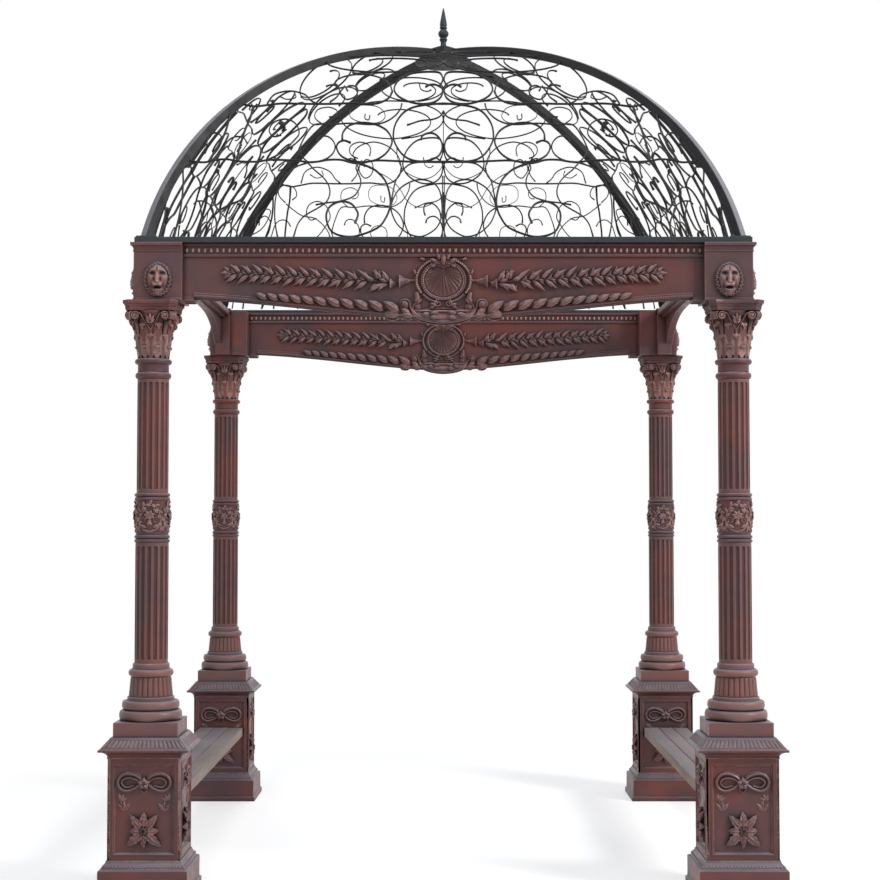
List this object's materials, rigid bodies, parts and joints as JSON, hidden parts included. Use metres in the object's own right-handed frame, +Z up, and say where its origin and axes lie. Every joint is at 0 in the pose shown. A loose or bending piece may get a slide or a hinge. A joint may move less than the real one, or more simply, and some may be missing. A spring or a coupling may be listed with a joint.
{
  "type": "cast iron garden gazebo",
  "caption": "Square open gazebo with cast iron pedestals, fluted columns and ornamented beams, a wrought iron scrollwork dome with a finial, and a plank bench along each side.",
  "frame": {"origin": "on the ground at the middle of the plan", "axes": "+Z up, +X to the right and -Y towards the open front, with the benches along the left and right sides"},
  "size_m": [3.004, 3.004, 4.339],
  "materials": {
    "cast_iron": "painted and patinated",
    "wrought_iron": "satin black",
    "steel_frame": "satin grey",
    "seat_wood": "weathered"
  },
  "bodies": {
    "root": {"pedestal_front_left": "cast_iron", "pedestal_front_right": "cast_iron", "pedestal_back_left": "cast_iron", "pedestal_back_right": "cast_iron", "column_base_front_left": "cast_iron", "column_base_front_right": "cast_iron", "column_base_back_left": "cast_iron", "column_base_back_right": "cast_iron", "lower_shaft_front_left": "cast_iron", "lower_shaft_front_right": "cast_iron", "lower_shaft_back_left": "cast_iron", "lower_shaft_back_right": "cast_iron", "collar_front_left": "cast_iron", "collar_front_right": "cast_iron", "collar_back_left": "cast_iron", "collar_back_right": "cast_iron", "upper_shaft_front_left": "cast_iron", "upper_shaft_front_right": "cast_iron", "upper_shaft_back_left": "cast_iron", "upper_shaft_back_right": "cast_iron", "capital_front_left": "cast_iron", "capital_front_right": "cast_iron", "capital_back_left": "cast_iron", "capital_back_right": "cast_iron", "corner_block_front_left": "cast_iron", "corner_block_front_right": "cast_iron", "corner_block_back_left": "cast_iron", "corner_block_back_right": "cast_iron", "front_beam": "cast_iron", "back_beam": "cast_iron", "left_beam": "cast_iron", "right_beam": "cast_iron", "dome_frame": "steel_frame", "rib_front_left": "wrought_iron", "rib_front_right": "wrought_iron", "rib_back_left": "wrought_iron", "rib_back_right": "wrought_iron", "crown": "wrought_iron", "finial": "steel_frame", "front_scrolls": "wrought_iron", "back_scrolls": "wrought_iron", "left_scrolls": "wrought_iron", "right_scrolls": "wrought_iron", "left_bench": "seat_wood", "right_bench": "seat_wood"}
  },
  "joints": []
}
